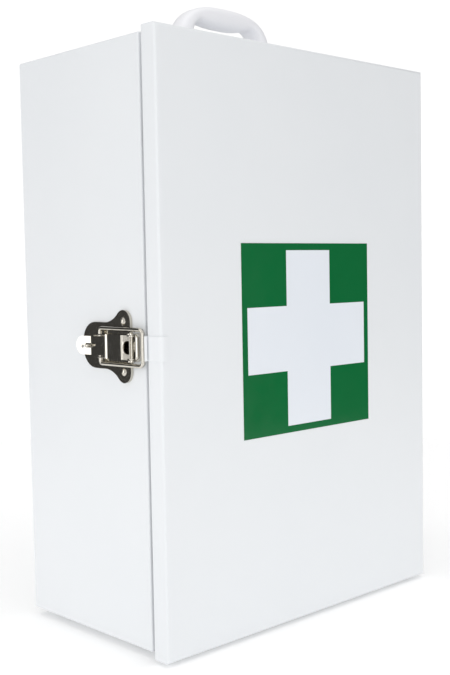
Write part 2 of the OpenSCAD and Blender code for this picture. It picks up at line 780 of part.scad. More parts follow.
body_wrapper();
front_frame();
back_panel();
shelf_upper();
shelf_lower();
shelf_rails();
shelf_screws();
rubber_feet();
foot_screws();
door_buffers();
handle_grip();
handle_screws();
handle_washers();
hinge_body_leaf();
hinge_pin();
latch_base();
latch_staple();
latch_rivets();
latch_pivot_pin();
door_pan();
hinge_door_leaf();
sign_green_field();
sign_white_cross();
latch_keeper();
latch_lever();
latch_bail();
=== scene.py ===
"""Looks of a lockable steel medicine cabinet.

White powder-coated sheet steel, a moulded carrying handle, a green and white
first aid sign and a nickel-plated draw latch that takes a padlock. Sizes are in
millimetres in the cabinet's own frame: +X to the hinges, +Y to the wall, +Z up,
with the origin at the middle of the wall-fixing holes.
"""

import logging
import math
from collections.abc import Callable, Iterable, Mapping, Sequence
from dataclasses import dataclass
from enum import Enum
from typing import Any

import bmesh
import bpy
from bmesh.types import BMEdge, BMesh, BMVert
from bpy.types import Light, Material, Node, NodeSocket, NodeTree, Object
from mathutils import Matrix, Vector


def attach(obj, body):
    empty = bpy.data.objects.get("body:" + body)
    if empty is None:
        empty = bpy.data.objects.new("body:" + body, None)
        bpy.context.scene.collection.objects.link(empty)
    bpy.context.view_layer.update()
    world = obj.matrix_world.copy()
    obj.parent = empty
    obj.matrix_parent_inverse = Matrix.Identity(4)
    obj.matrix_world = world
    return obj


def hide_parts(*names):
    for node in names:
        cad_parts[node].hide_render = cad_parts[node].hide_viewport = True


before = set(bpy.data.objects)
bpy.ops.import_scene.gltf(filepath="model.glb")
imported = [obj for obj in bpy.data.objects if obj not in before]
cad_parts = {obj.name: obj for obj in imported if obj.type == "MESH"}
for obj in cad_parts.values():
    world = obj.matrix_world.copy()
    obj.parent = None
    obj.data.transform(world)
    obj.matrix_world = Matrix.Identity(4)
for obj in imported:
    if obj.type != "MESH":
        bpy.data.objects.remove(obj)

LOG = logging.getLogger("medicine_cabinet")
MM = 0.001
PICTURE_HEIGHT = 675
SENSOR_HEIGHT = 36.0
UPSIDE_DOWN = Matrix.Rotation(math.pi, 4, "X")

Span = tuple[float, float]
Place = tuple[float, float, float]
Corner = tuple[float, float, float]
Ring = tuple[float, float, float]


class Body(Enum):
    """The parts of the cabinet that move against each other."""

    CABINET = "cabinet"
    DOOR = "door"
    LEVER = "lever"
    BAIL = "bail"


class Sketch(Enum):
    """How a flat drawing of a latch piece lies on the cabinet's left side."""

    PLAN = "x runs back, y runs down, z runs out from the side"
    SECTION = "x runs back, y runs out from the side, z runs up"


# ---------- finishes ----------


def linear(colour: str) -> tuple[float, float, float, float]:
    """Turns an sRGB value such as "#E8EAEC" into a linear colour with an alpha of 1."""
    parts = [int(colour[i : i + 2], 16) / 255 for i in (1, 3, 5)]
    return *(c / 12.92 if c <= 0.04045 else ((c + 0.055) / 1.055) ** 2.4 for c in parts), 1.0


def per_metre(spacing_mm: float) -> float:
    """Returns the scale of a pattern that repeats every so many millimetres."""
    return 1 / (spacing_mm * MM)


def add_node(
    tree: NodeTree,
    kind: str,
    settings: Mapping[str | int, Any] | None = None,
    links: Mapping[str | int, NodeSocket] | None = None,
) -> Node:
    """Adds a node with its settings and links.

    Args:
        tree: The node tree.
        kind: The node's type.
        settings: Values for its inputs or its own properties, by name or input number.
        links: Sockets that feed its inputs, by name or input number.

    Returns:
        The new node.
    """
    node = tree.nodes.new(kind)
    for name, value in (settings or {}).items():
        if isinstance(name, int) or name in node.inputs:
            node.inputs[name].default_value = value
        else:
            setattr(node, name, value)
    for name, socket in (links or {}).items():
        tree.links.new(socket, node.inputs[name])
    return node


def noise(
    tree: NodeTree, place: NodeSocket, spacing_mm: float, detail: float, rough: float
) -> NodeSocket:
    """Adds a noise pattern and returns its value, from 0 to 1."""
    settings = {"Scale": per_metre(spacing_mm), "Detail": detail, "Roughness": rough}
    return add_node(tree, "ShaderNodeTexNoise", settings, {"Vector": place}).outputs["Fac"]


def remap(tree: NodeTree, value: NodeSocket, source: Span, target: Span) -> NodeSocket:
    """Maps one span of values onto another and returns the result."""
    limits = dict(zip(("From Min", "From Max", "To Min", "To Max"), (*source, *target)))
    return add_node(tree, "ShaderNodeMapRange", limits, {"Value": value}).outputs["Result"]


def bump(tree: NodeTree, depth_mm: float, links: Mapping[str, NodeSocket]) -> NodeSocket:
    """Adds a relief of a real depth and returns its normal."""
    settings = {"Strength": 1.0, "Distance": depth_mm * MM}
    return add_node(tree, "ShaderNodeBump", settings, links).outputs["Normal"]


@dataclass(frozen=True)
class Finish:
    """A surface of the cabinet, as one material."""

    name: str  # The material's name
    slot: str  # The record's material slot
    colour: str  # Its main colour, sRGB
    shade: str  # The colour that it drifts to in patches, sRGB
    patch_mm: float  # Size of those patches. The gloss drifts in patches a sixth of this size
    roughness: Span  # Least and most roughness over the surface
    fine_mm: Span  # Spacing and depth of the fine relief
    slow_mm: Span  # Spacing and depth of the slow waves under it
    metallic: float = 0.0  # 1 for bare metal, 0 for paint, plastic and rubber
    ior: float = 1.5  # Index of refraction of the surface

    def material(self) -> Material:
        """Builds the material, or returns it if it is there already.

        Returns:
            The node-based material.
        """
        made = bpy.data.materials.get(self.name)
        if made:
            return made
        made = bpy.data.materials.new(self.name)
        made.use_nodes = True
        made.diffuse_color = linear(self.colour)
        tree = made.node_tree
        tree.nodes.clear()
        place = add_node(tree, "ShaderNodeTexCoord").outputs["Object"]
        patches = noise(tree, place, self.patch_mm, 3.0, 0.55)
        colours = {"data_type": "RGBA", 6: linear(self.colour), 7: linear(self.shade)}
        tint = add_node(tree, "ShaderNodeMix", colours, {0: patches}).outputs[2]
        gloss = remap(tree, noise(tree, place, self.patch_mm / 6, 4.0, 0.6), (0.3, 0.7), self.roughness)
        waves = bump(tree, self.slow_mm[1], {"Height": noise(tree, place, self.slow_mm[0], 1.0, 0.4)})
        relief = bump(tree, self.fine_mm[1], {"Height": self.grain(tree, place), "Normal": waves})
        shader = add_node(
            tree,
            "ShaderNodeBsdfPrincipled",
            {"Metallic": self.metallic, "IOR": self.ior},
            {"Base Color": tint, "Roughness": gloss, "Normal": relief},
        )
        add_node(tree, "ShaderNodeOutputMaterial", None, {"Surface": shader.outputs["BSDF"]})
        return made

    def grain(self, tree: NodeTree, place: NodeSocket) -> NodeSocket:
        """Adds the fine relief as plain noise and returns its height, from 0 to 1."""
        return noise(tree, place, self.fine_mm[0], 2.0, 0.5)


@dataclass(frozen=True)
class CellFinish(Finish):
    """A finish whose fine relief is of small rounded cells, as on cast rubber or plated zinc."""

    def grain(self, tree: NodeTree, place: NodeSocket) -> NodeSocket:
        """Adds the fine relief as rounded cells and returns its height, from 0 to 1."""
        settings = {"Scale": per_metre(self.fine_mm[0]), "feature": "SMOOTH_F1", "Smoothness": 0.6}
        return add_node(tree, "ShaderNodeTexVoronoi", settings, {"Vector": place}).outputs["Distance"]


# Polyester powder coat on sheet steel: a satin white with the faint orange peel of
# a stoved powder. The real peel has a pitch of about 1 mm, drawn at 2.4 mm to show.
POWDER_COAT = Finish(
    "powder_coat_satin_white", "powder_coat", "#EEF0F2", "#E9ECEF", patch_mm=140.0,
    roughness=(0.34, 0.42), fine_mm=(2.4, 0.012), slow_mm=(60.0, 0.05), ior=1.52,
)
# ABS, injection moulded in a lightly spark-eroded tool: a clean white, softer than paint.
MOULDED_ABS = Finish(
    "moulded_abs_white", "white_plastic", "#F9F9FC", "#F4F4F8", patch_mm=60.0,
    roughness=(0.36, 0.44), fine_mm=(1.2, 0.010), slow_mm=(25.0, 0.06), ior=1.54,
)
# Bright nickel over pressed steel: a slightly warm mirror, with the long waves of the
# press and of hand polishing.
NICKEL_PLATE = Finish(
    "bright_nickel_plate", "nickel_plate", "#D6D2C9", "#CBC6BB", patch_mm=18.0,
    roughness=(0.05, 0.12), fine_mm=(1.5, 0.002), slow_mm=(9.0, 0.022), metallic=1.0,
)
# Zinc plate, clear passivated: grey and milky, with a fine crystal relief.
ZINC_PLATE = CellFinish(
    "clear_zinc_plate", "zinc_steel", "#C2C5C8", "#B4B8BD", patch_mm=12.0,
    roughness=(0.28, 0.42), fine_mm=(1.1, 0.010), slow_mm=(14.0, 0.02), metallic=1.0,
)
# Moulded nitrile rubber: near black and dull, with a fine grain from the mould.
NITRILE_RUBBER = CellFinish(
    "moulded_nitrile_rubber", "black_rubber", "#1B1C1E", "#26272A", patch_mm=9.0,
    roughness=(0.55, 0.7), fine_mm=(0.9, 0.03), slow_mm=(8.0, 0.05), ior=1.52,
)
# Cast vinyl film, green: a smooth gloss, and it prints the powder coat's peel through.
GREEN_VINYL = Finish(
    "cast_vinyl_green", "green_film", "#0C6C39", "#0A6534", patch_mm=90.0,
    roughness=(0.12, 0.18), fine_mm=(2.4, 0.004), slow_mm=(60.0, 0.03), ior=1.46,
)
# Cast vinyl film, white: a little colder than the paint round it, and less glossy than the green.
WHITE_VINYL = Finish(
    "cast_vinyl_white", "white_film", "#EDF1F7", "#E8EDF4", patch_mm=90.0,
    roughness=(0.2, 0.26), fine_mm=(2.4, 0.004), slow_mm=(60.0, 0.03), ior=1.46,
)


# ---------- shaping ----------


def outward(bm: BMesh) -> None:
    """Turns all faces of a closed shape outwards."""
    bmesh.ops.recalc_face_normals(bm, faces=bm.faces)


def verts_of(geometry: Iterable[Any]) -> list[BMVert]:
    """Returns the vertices among what an operator made."""
    return [g for g in geometry if isinstance(g, BMVert)]


def edges_of(geometry: Iterable[Any]) -> list[BMEdge]:
    """Returns the edges among what an operator made."""
    return [g for g in geometry if isinstance(g, BMEdge)]


def round_edges(bm: BMesh, edges: Iterable[BMEdge], radius: float, segments: int) -> None:
    """Rounds edges with an arc of a radius and a number of faces."""
    bmesh.ops.bevel(
        bm, geom=list(edges), offset=radius, offset_type="OFFSET", segments=segments,
        profile=0.5, affect="EDGES", clamp_overlap=True, material=-1,
    )


def sharp_edges(bm: BMesh, degrees: float = 35.0) -> list[BMEdge]:
    """Returns the edges whose two faces turn by more than an angle."""
    limit = math.radians(degrees)
    return [e for e in bm.edges if len(e.link_faces) == 2 and e.calc_face_angle(0) > limit]


def soften(bm: BMesh, radius: float, degrees: float = 35.0) -> None:
    """Breaks the edges of a closed shape that turn by more than an angle, by a small radius."""
    tidy(bm)
    round_edges(bm, sharp_edges(bm, degrees), radius, 2)


def tidy(bm: BMesh) -> None:
    """Merges doubles, joins flat faces and turns all faces outwards.

    Args:
        bm: The mesh.
    """
    bmesh.ops.remove_doubles(bm, verts=bm.verts, dist=0.002)
    bmesh.ops.dissolve_degenerate(bm, edges=bm.edges, dist=0.001)
    bmesh.ops.dissolve_limit(bm, angle_limit=math.radians(0.5), verts=bm.verts, edges=bm.edges)
    outward(bm)


def join(bm: BMesh, other: BMesh, matrix: Matrix | None = None) -> None:
    """Adds one shape to another.

    Args:
        bm: The mesh that takes the shape.
        other: The shape, which is freed.
        matrix: Where it goes.
    """
    if matrix is not None:
        bmesh.ops.transform(other, matrix=matrix, verts=other.verts)
    carrier = bpy.data.meshes.new("carrier")
    other.to_mesh(carrier)
    other.free()
    bm.from_mesh(carrier)
    bpy.data.meshes.remove(carrier)


def at(x: float = 0.0, y: float = 0.0, z: float = 0.0) -> Matrix:
    """Returns a move."""
    return Matrix.Translation((x, y, z))


def move(bm: BMesh, x: float = 0.0, y: float = 0.0, z: float = 0.0) -> BMesh:
    """Moves a whole shape and returns it."""
    bmesh.ops.translate(bm, vec=Vector((x, y, z)), verts=bm.verts)
    return bm


def copies(make: Callable[[], BMesh], places: Iterable[Matrix]) -> BMesh:
    """Joins a shape at several places.

    Args:
        make: Models the shape once.
        places: Where each copy goes.

    Returns:
        All copies in one mesh.
    """
    bm = bmesh.new()
    for place in places:
        join(bm, make(), place)
    return bm


def cut(bm: BMesh, place: Vector, facing: Vector, trim: bool = False) -> None:
    """Cuts a shape along a plane, and can trim away what lies behind it."""
    bmesh.ops.bisect_plane(
        bm, geom=[*bm.verts, *bm.edges, *bm.faces], dist=1e-4, plane_co=place, plane_no=facing,
        clear_inner=trim,
    )


def face_out(bm: BMesh) -> None:
    """Turns the faces of an open shell outwards, judged by the one furthest to -X."""
    outward(bm)
    if min(bm.faces, key=lambda f: f.calc_center_median().x).normal.x > 0:
        bmesh.ops.reverse_faces(bm, faces=bm.faces)


def raise_faces(bm: BMesh, height: float) -> None:
    """Draws all faces out along Z."""
    made = bmesh.ops.extrude_face_region(bm, geom=list(bm.faces))["geom"]
    bmesh.ops.translate(bm, vec=Vector((0, 0, height)), verts=verts_of(made))


def mirrored(half: Sequence[Corner]) -> list[Corner]:
    """Returns an outline from the half of it where y is above 0."""
    return [*half, *((x, -y, radius) for x, y, radius in reversed(half))]


def four_corners(across: Span, up: Span, radii: Span) -> list[Corner]:
    """Returns the outline of a plate from its spans, and its lower and upper corners' radii."""
    (left, right), (foot, top), (low, high) = across, up, radii
    return [(left, foot, low), (right, foot, low), (right, top, high), (left, top, high)]


def draw_corners(bm: BMesh, corners: Sequence[Corner]) -> None:
    """Draws a closed outline on the XY plane and rounds its corners.

    Args:
        bm: The mesh.
        corners: x, y and radius of each corner, in order.
    """
    verts = [bm.verts.new((x, y, 0.0)) for x, y, _ in corners]
    bm.faces.new(verts)
    flat = [Vector((x, y)) for x, y, _ in corners]
    for i, (_, _, radius) in enumerate(corners):
        if radius > 0:
            turn = abs((flat[i] - flat[i - 1]).angle_signed(flat[(i + 1) % len(flat)] - flat[i]))
            bmesh.ops.bevel(
                bm, geom=[verts[i]], offset=radius * math.tan(turn / 2), offset_type="OFFSET",
                segments=6, profile=0.5, affect="VERTICES", clamp_overlap=False, material=-1,
            )


def flat_sheet(
    corners: Sequence[Corner], holes: Sequence[Sequence[Corner]] = (), rings: Sequence[Ring] = ()
) -> BMesh:
    """Cuts a flat sheet with rounded corners and holes.

    Args:
        corners: x, y and radius of each corner of the outline.
        holes: The same for each hole with corners.
        rings: x, y and radius of each round hole.

    Returns:
        A sheet without thickness on the XY plane.
    """
    bm = bmesh.new()
    for outline in (corners, *holes):
        draw_corners(bm, outline)
    for x, y, radius in rings:
        bmesh.ops.create_circle(bm, segments=20, radius=radius, matrix=at(x, y))
    if holes or rings:
        bmesh.ops.delete(bm, geom=list(bm.faces), context="FACES_ONLY")
        bmesh.ops.remove_doubles(bm, verts=bm.verts, dist=0.002)
        bmesh.ops.triangle_fill(bm, use_beauty=True, use_dissolve=False, edges=list(bm.edges))
    return bm


def plate(
    corners: Sequence[Corner], height: float, rings: Sequence[Ring] = (), soft: float = 0.0
) -> BMesh:
    """Cuts a closed plate with rounded corners and round holes.

    Args:
        corners: x, y and radius of each corner of the outline.
        height: Thickness of the plate.
        rings: x, y and radius of each round hole.
        soft: Radius of its broken edges.

    Returns:
        A plate on the XY plane.
    """
    bm = flat_sheet(corners, (), rings)
    raise_faces(bm, height)
    tidy(bm)
    if soft:
        soften(bm, soft)
    return bm


def top_rim(bm: BMesh, height: float) -> list[BMEdge]:
    """Returns the sharp edges round the top of a plate."""
    return [e for e in sharp_edges(bm) if all(v.co.z > height - 0.01 for v in e.verts)]


def lathe(profile: Sequence[tuple[float, float]], steps: int = 24) -> BMesh:
    """Turns a profile about the Z axis.

    Args:
        profile: Radius and height of each point. Points at radius 0 close the shape.
        steps: Number of faces round the turn.

    Returns:
        The turned shape.
    """
    bm = bmesh.new()
    verts = [bm.verts.new((radius, 0.0, height)) for radius, height in profile]
    edges = [bm.edges.new(pair) for pair in zip(verts, verts[1:])]
    bmesh.ops.spin(
        bm, geom=verts + edges, cent=Vector(), axis=Vector((0, 0, 1)), dvec=Vector(),
        angle=math.tau, steps=steps, use_merge=True, use_duplicate=False,
    )
    tidy(bm)
    return bm


def domed(radius: float, height: float, steps: int = 5) -> list[tuple[float, float]]:
    """Gives the profile of a domed head that stands on height 0.

    Args:
        radius: Radius of its rim.
        height: Height of its crown.
        steps: Number of edges over the dome.

    Returns:
        Radius and height of each point, from the rim to the crown.
    """
    ball = (radius**2 + height**2) / (2 * height)
    sweep = math.asin(min(1.0, radius / ball))
    turns = [sweep * (1 - i / steps) for i in range(steps + 1)]
    return [(ball * math.sin(t), height - ball + ball * math.cos(t)) for t in turns]


def folded_box(
    size: Vector, front: float, lip: float, sheet: float, bend: float, back_bend: float = 0.0
) -> BMesh:
    """Folds a sheet-metal box with a lip round its opening.

    Args:
        size: Outside width, depth and height.
        front: Y of its front.
        lip: Width of the lip.
        sheet: Thickness of the sheet.
        bend: Outside radius of the bends at the front, and along the depth if the back is open.
        back_bend: Outside radius of the bends at the back, for a pan with its lip there. At 0
            the lip is at the front and the back is open.

    Returns:
        The folded box, with its sheet's thickness.
    """
    bm = bmesh.new()
    bmesh.ops.create_cube(bm, size=1.0)
    bmesh.ops.scale(bm, vec=size, verts=bm.verts)
    move(bm, y=front + size.y / 2)
    towards = 1.0 if back_bend else -1.0
    opening = [f for f in bm.faces if f.normal.y * towards > 0.9]
    bmesh.ops.inset_region(bm, faces=opening, thickness=lip, use_even_offset=True)
    bmesh.ops.delete(bm, geom=opening, context="FACES")
    if not back_bend:
        bmesh.ops.delete(bm, geom=[f for f in bm.faces if f.normal.y > 0.9], context="FACES")

    def on_side(vert: BMVert) -> bool:
        """Tells whether a vertex is on the box's outer sides."""
        return abs(abs(vert.co.x) - size.x / 2) < 1e-4 or abs(abs(vert.co.z) - size.z / 2) < 1e-4

    def on_rim(edge: BMEdge, y: float) -> bool:
        """Tells whether an edge with two faces is on the box's outer rim at a depth."""
        on_both = all(on_side(v) and abs(v.co.y - y) < 1e-4 for v in edge.verts)
        return on_both and len(edge.link_faces) == 2

    rim = [e for e in bm.edges if on_rim(e, front)]
    if back_bend:
        round_edges(bm, rim, bend, 6)
        round_edges(bm, [e for e in bm.edges if on_rim(e, front + size.y)], back_bend, 5)
    else:
        along = [e for e in bm.edges if abs(e.verts[0].co.y - e.verts[1].co.y) > 1.0]
        round_edges(bm, along + rim, bend, 6)
    outward(bm)
    bmesh.ops.solidify(bm, geom=list(bm.faces), thickness=sheet)
    return bm


@dataclass
class WireRun:
    """Draws a wire, a bar or a strip of sheet out run by run."""

    bm: BMesh
    end: list[BMEdge]  # The edges at its free end

    def straight(self, x: float = 0.0, y: float = 0.0, z: float = 0.0) -> None:
        """Draws it straight on.

        Args:
            x: How far along X.
            y: How far along Y.
            z: How far along Z.
        """
        made = bmesh.ops.extrude_edge_only(self.bm, edges=self.end)["geom"]
        self.end = edges_of(made)
        bmesh.ops.translate(self.bm, vec=Vector((x, y, z)), verts=verts_of(made))

    def bend(self, centre: Vector, axis: Vector, degrees: float, steps: int = 6) -> None:
        """Bends it on by an angle about an axis, in a number of steps."""
        made = bmesh.ops.spin(
            self.bm, geom=self.end, cent=centre, axis=axis, dvec=Vector(), angle=math.radians(degrees),
            steps=steps, use_merge=False, use_duplicate=False,
        )
        self.end = edges_of(made["geom_last"])

    def close(self) -> None:
        """Closes the free end with a flat face."""
        bmesh.ops.edgeloop_fill(self.bm, edges=self.end)


def link_mesh(name: str, bm: BMesh, material: Material) -> Object:
    """Makes an object of a shape.

    Args:
        name: Name of the object and of its mesh.
        bm: The shape, which is freed.
        material: Its material.

    Returns:
        The object, in the scene.
    """
    mesh = bpy.data.meshes.new(name)
    bm.to_mesh(mesh)
    bm.free()
    mesh.materials.append(material)
    made = bpy.data.objects.new(name, mesh)
    bpy.context.scene.collection.objects.link(made)
    return made


def show(name: str, bm: BMesh, finish: Finish, body: Body, nodes: Sequence[str]) -> None:
    """Makes a finished piece of a shape in millimetres. Edges that turn by over 40 degrees stay sharp.

    Args:
        name: The piece's name.
        bm: The shape, which is freed.
        finish: Its surface.
        body: The body that it moves with.
        nodes: The CAD nodes that it stands for.
    """
    bmesh.ops.remove_doubles(bm, verts=bm.verts, dist=0.001)
    bmesh.ops.scale(bm, vec=Vector((MM, MM, MM)), verts=bm.verts)
    for face in bm.faces:
        face.smooth = True
    for edge in sharp_edges(bm, 40.0):
        edge.smooth = False
    piece = link_mesh(name, bm, finish.material())
    even = piece.modifiers.new("even_shading", "WEIGHTED_NORMAL")
    even.keep_sharp = True
    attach(piece, body.value)
    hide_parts(*nodes)
    LOG.info("%s: %d faces, for %s", name, len(piece.data.polygons), ", ".join(nodes))


def dress(nodes: Sequence[str], finish: Finish) -> None:
    """Gives CAD nodes whose shape is right their surface.

    Args:
        nodes: The nodes' names.
        finish: Their surface.
    """
    for name in nodes:
        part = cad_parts[name]
        if not part.material_slots:
            part.data.materials.append(finish.material())
        for slot in part.material_slots:
            slot.material = finish.material()
        LOG.info("%s: dressed in %s", name, finish.name)


# ---------- sub-assemblies ----------


@dataclass(frozen=True)
class Screw:
    """A pan-head screw with a cross recess."""

    shank: float  # Radius of the shank
    length: float  # Length of the shank
    head: float  # Radius of the head
    crown: float  # Height of the head
    slot: float = 1.7  # Half the length of the cross recess
    slot_half: float = 0.32  # Half the width of its arms
    recess: float = 1.0  # Depth of the recess

    def shape(self) -> BMesh:
        """Models the screw with its head above the plane z = 0 and its shank below.

        Returns:
            The screw.
        """
        arm, half = self.slot, self.slot_half
        cross = [(half, arm), (half, half), (arm, half)]
        for _ in range(3):
            cross += [(y, -x) for x, y in cross[-3:]]
        bm = bmesh.new()
        face = bm.faces.new([bm.verts.new((x, y, 0.0)) for x, y in cross])
        outline = list(face.edges)
        bmesh.ops.delete(bm, geom=[face], context="FACES_ONLY")
        for share in (0.62, 0.82, 1.0):
            bmesh.ops.create_circle(bm, segments=24, radius=self.head * share)
        rings = [e for e in bm.edges if e not in outline]
        past_inner, past_middle = self.head * 0.7, self.head * 0.9
        inner = [e for e in rings if e.verts[0].co.length < past_inner]
        bmesh.ops.bridge_loops(bm, edges=[e for e in rings if e.verts[0].co.length < past_middle])
        bmesh.ops.bridge_loops(bm, edges=[e for e in rings if e.verts[0].co.length > past_inner])
        bmesh.ops.triangle_fill(bm, use_beauty=True, use_dissolve=False, edges=inner + outline)
        ball = (self.head**2 + self.crown**2) / (2 * self.crown)
        for vert in bm.verts:
            vert.co.z = self.crown - ball + math.sqrt(max(0.0, ball**2 - vert.co.xy.length_squared))
        deep = bmesh.ops.extrude_edge_only(bm, edges=outline)["geom"]
        for vert in verts_of(deep):
            vert.co.z = self.crown - self.recess
        bmesh.ops.edgeloop_fill(bm, edges=edges_of(deep))
        rim = [e for e in bm.edges if e.is_boundary]
        neck = bmesh.ops.extrude_edge_only(bm, edges=rim)["geom"]
        inward = self.shank / self.head
        bmesh.ops.scale(bm, vec=Vector((inward, inward, 1.0)), verts=verts_of(neck))
        tip = bmesh.ops.extrude_edge_only(bm, edges=edges_of(neck))["geom"]
        bmesh.ops.translate(bm, vec=Vector((0, 0, -self.length)), verts=verts_of(tip))
        bmesh.ops.edgeloop_fill(bm, edges=edges_of(tip))
        outward(bm)
        return bm


# The three kinds of screw in the cabinet.
SHELF_SCREW = Screw(shank=1.9, length=6.0, head=3.4, crown=1.8)
FOOT_SCREW = Screw(shank=1.9, length=7.0, head=3.4, crown=1.8)
HANDLE_SCREW = Screw(shank=1.95, length=20.0, head=4.4, crown=2.6, slot=2.2, slot_half=0.4, recess=1.4)


@dataclass
class CabinetBody:
    """The folded wrapper, its back panel, shelves, feet and buffers."""

    width: float = 304.0  # Outside width
    height: float = 450.0  # Outside height
    front: float = -156.4  # Y of the body's front
    sheet: float = 1.0  # Thickness of the sheet
    lip: float = 13.0  # Width of the lip at the front
    bend: float = 1.3  # Outside radius of the bends
    foot_inset: float = 26.0  # Distance of a foot from the body's edges
    foot_height: float = 6.0  # Height of a foot
    foot_radius: float = 9.0  # Radius of a foot at its top
    shelf_tops: Span = (-74.0, 76.0)  # Heights of the shelves' top faces
    screw_x: float = 143.5  # Distance of the shelf screws from the middle
    screw_y: Span = (-30.0, -110.0)  # Y of the shelf screws
    buffer_z: float = 152.0  # Height of the door buffers above and below the middle
    buffer_x: float = -144.8  # X of the door buffers
    seam_gain: float = 3.0  # How much wider the door's seam is on the latch side than on the hinge side

    def build(self) -> None:
        """Builds the body's pieces. The wrapper's front slants back towards the latch side."""
        size = Vector((self.width, -self.front, self.height))
        wrapper = folded_box(size, self.front, self.lip, self.sheet, self.bend)
        for vert in wrapper.verts:
            vert.co.y *= 1 + self.seam_gain / self.front * (0.5 - vert.co.x / self.width)
        show("wrapper", wrapper, POWDER_COAT, Body.CABINET, ["body_wrapper", "front_frame"])
        dress(["back_panel", "shelf_upper", "shelf_lower", "shelf_rails"], POWDER_COAT)
        show("shelf_screw_set", self.shelf_screws(), ZINC_PLATE, Body.CABINET, ["shelf_screws"])
        show("foot_set", self.feet(), NITRILE_RUBBER, Body.CABINET, ["rubber_feet"])
        show("foot_screw_set", self.foot_screws(), ZINC_PLATE, Body.CABINET, ["foot_screws"])
        show("door_buffer_set", self.buffers(), NITRILE_RUBBER, Body.CABINET, ["door_buffers"])

    def shelf_screws(self) -> BMesh:
        """Models the screws that hold the shelves to their rails."""
        along = [(s * self.screw_x, y) for s in (-1, 1) for y in self.screw_y]
        return copies(SHELF_SCREW.shape, [at(x, y, top) for top in self.shelf_tops for x, y in along])

    def foot_places(self) -> list[Span]:
        """Returns x and y of the four feet."""
        x = self.width / 2 - self.foot_inset
        return [(s * x, y) for s in (-1, 1) for y in (-self.foot_inset, self.front + self.foot_inset)]

    def feet(self) -> BMesh:
        """Models the rubber feet: a rounded, tapered button with a recess for its screw.

        Returns:
            The four feet.
        """
        wide, low, hole, top = self.foot_radius, -self.foot_height, 2.2, -self.height / 2
        tip = wide - 1.2
        profile = [
            (hole, 0.0), (wide, 0.0), (wide - 0.1, -0.9), (tip + 0.15, low + 1.0),
            (tip - 0.25, low + 0.3), (tip - 1.0, low), (4.8, low), (4.3, low + 0.4),
            (4.2, low / 2), (hole, low / 2), (hole, 0.0),
        ]
        return copies(lambda: lathe(profile), [at(x, y, top) for x, y in self.foot_places()])

    def foot_screws(self) -> BMesh:
        """Models the screws that hold the feet, with their heads down."""
        seat = -self.height / 2 - self.foot_height / 2
        return copies(FOOT_SCREW.shape, [at(x, y, seat) @ UPSIDE_DOWN for x, y in self.foot_places()])

    def buffers(self) -> BMesh:
        """Models the rubber buffers that the closed door leans on.

        Returns:
            The two buffers, turned to the front.
        """
        foot, turn = -self.seam_gain, Matrix.Rotation(math.pi / 2, 4, "X")
        profile = [(0.0, foot), (4.0, foot), (3.85, 1.6), (3.5, 2.1), (3.0, 2.3), (0.0, 2.3)]
        heights = (-self.buffer_z, self.buffer_z)
        return copies(lambda: lathe(profile), [at(self.buffer_x, self.front, z) @ turn for z in heights])


@dataclass
class Door:
    """The folded door pan with its sign and hinge leaf."""

    width: float = 310.0  # Outside width
    height: float = 456.0  # Outside height
    front: float = -175.0  # Y of its front face
    depth: float = 16.0  # Depth of its folded edge
    sheet: float = 1.0  # Thickness of the sheet
    lip: float = 13.0  # Width of the lip at the back
    front_bend: float = 2.5  # Outside radius of the front bends
    back_bend: float = 1.6  # Outside radius of the back bends

    def build(self) -> None:
        """Builds the door's pieces."""
        size = Vector((self.width, self.depth, self.height))
        pan = folded_box(size, self.front, self.lip, self.sheet, self.front_bend, self.back_bend)
        show("door_panel", pan, POWDER_COAT, Body.DOOR, ["door_pan"])
        dress(["sign_green_field"], GREEN_VINYL)
        dress(["sign_white_cross"], WHITE_VINYL)
        dress(["hinge_door_leaf", "hinge_body_leaf", "hinge_pin"], ZINC_PLATE)


